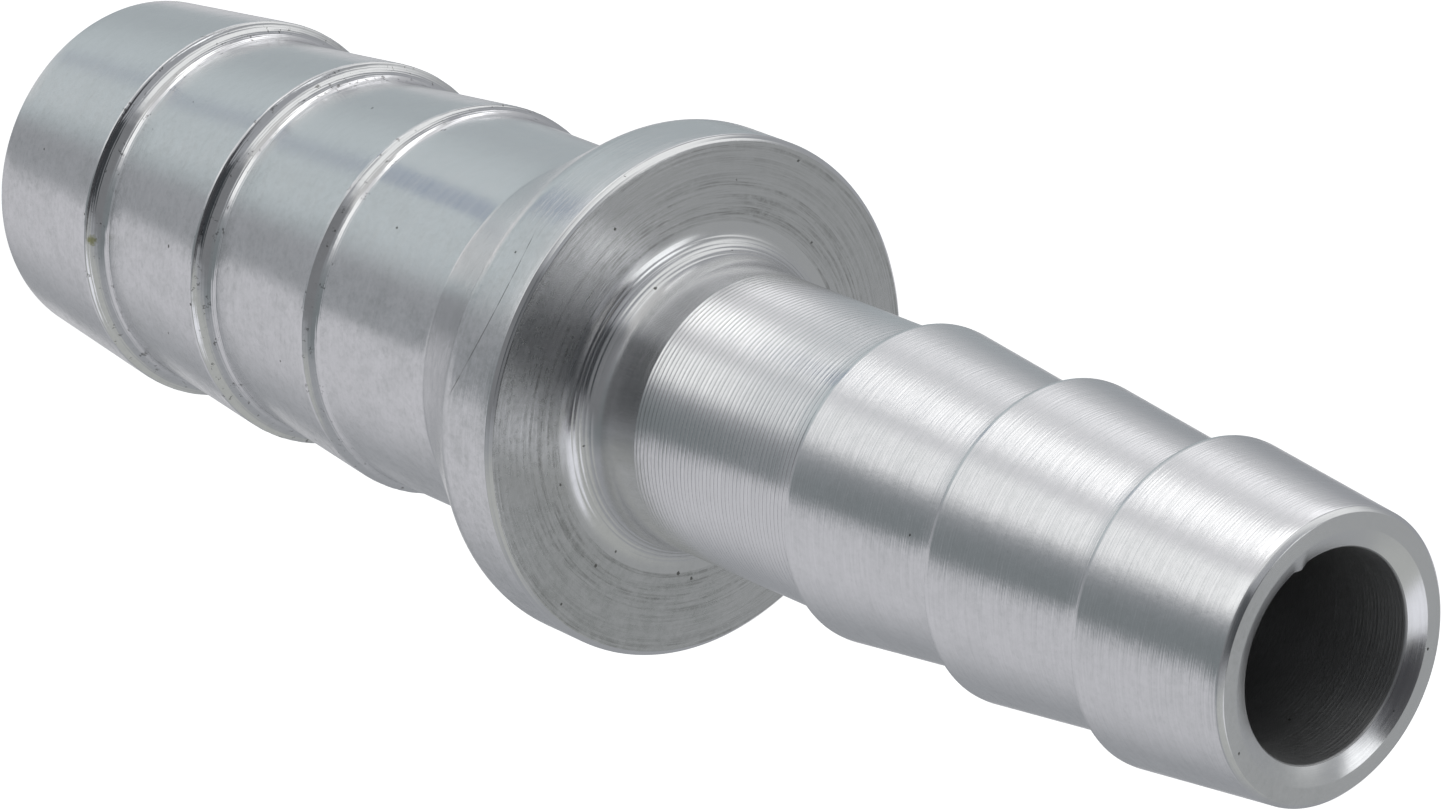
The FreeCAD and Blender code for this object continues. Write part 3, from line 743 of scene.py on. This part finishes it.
class CONNECTOR_OT_build_stage(bpy.types.Operator):
    """Lay the floor, light the studio and aim the camera"""

    bl_idname = "connector.build_stage"
    bl_label = "Build the stage"

    def execute(self, context):
        scene = context.scene
        studio = scene.connector_studio
        sizes = scene.connector_sizes
        scene.view_settings.view_transform = "Standard"
        studio_world()
        reach = studio.reach
        under = -0.02 * MM
        corners = [(x * reach, y * reach, under) for x, y in ((-1, -1), (1, -1), (1, 1), (-1, 1))]
        set_behind("floor", corners, [(0, 1, 2, 3)], paper("floor_paper", studio.floor, studio.glow))
        verts = []
        faces = []
        for ring in range(DOME_RINGS + 1):
            lift = math.pi * (ring / DOME_RINGS - 0.5)
            for step in range(DOME_STEPS):
                turned = 2 * math.pi * step / DOME_STEPS
                verts.append((2 * reach * math.cos(lift) * math.cos(turned),
                              2 * reach * math.cos(lift) * math.sin(turned), 2 * reach * math.sin(lift)))
                if ring:
                    top, bottom, after = DOME_STEPS * ring, DOME_STEPS * (ring - 1), (step + 1) % DOME_STEPS
                    faces.append((bottom + step, bottom + after, top + after, top + step))
        backdrop = set_behind("backdrop", verts, faces, paper("backdrop_paper", (0, 0, 0), 1.0))
        backdrop.visible_diffuse = False

        edge = front_level(sizes) - sizes.rim_edge
        # The picture's right, down and depth directions in the connector's frame
        along = Vector((math.sin(studio.tilt) * math.cos(studio.roll),
                        math.sin(studio.tilt) * math.sin(studio.roll), -math.cos(studio.tilt)))
        side = along.cross(Vector((0, 0, 1))).normalized()
        front = along.cross(side)
        turn = Matrix((-side, -front, along))
        spot = Vector((-studio.face_left, -studio.face_up, studio.distance))
        camera = bpy.data.objects.new("camera", bpy.data.cameras.new("camera"))
        scene.collection.objects.link(camera)
        right, down, ahead = turn.col[0], turn.col[1], turn.col[2]
        place = Vector((0, 0, edge)) - turn @ spot
        pose = Matrix((right, -down, -ahead)).transposed().to_4x4()
        pose.translation = place
        camera.matrix_world = pose
        camera.data.sensor_width = 36
        camera.data.lens = studio.focal
        camera.data.clip_start = 0.01
        camera.data.clip_end = 10
        scene.camera = camera
        return {"FINISHED"}


# Sidebar


class CONNECTOR_PT_sidebar(bpy.types.Panel):
    bl_idname = "CONNECTOR_PT_sidebar"
    bl_label = "Hose connector"
    bl_space_type = "VIEW_3D"
    bl_region_type = "UI"
    bl_category = "Connector"

    def draw(self, context):
        layout = self.layout
        for step in OPERATORS:
            layout.operator(step.bl_idname)
        scene = context.scene
        for settings in (scene.connector_sizes, scene.connector_finish, scene.connector_studio):
            box = layout.box()
            for name in settings.__annotations__:
                box.prop(settings, name)


OPERATORS = (CONNECTOR_OT_turn_body, CONNECTOR_OT_build_stage)
CLASSES = (ConnectorSizes, ConnectorFinish, ConnectorStudio) + OPERATORS + (CONNECTOR_PT_sidebar,)


def register():
    for item in CLASSES:
        bpy.utils.register_class(item)
    bpy.types.Scene.connector_sizes = PointerProperty(type=ConnectorSizes)
    bpy.types.Scene.connector_finish = PointerProperty(type=ConnectorFinish)
    bpy.types.Scene.connector_studio = PointerProperty(type=ConnectorStudio)


def unregister():
    del bpy.types.Scene.connector_studio
    del bpy.types.Scene.connector_finish
    del bpy.types.Scene.connector_sizes
    for item in reversed(CLASSES):
        bpy.utils.unregister_class(item)


def main():
    register()
    bpy.ops.connector.turn_body()
    bpy.ops.connector.build_stage()


if __name__ == "__main__":
    main()
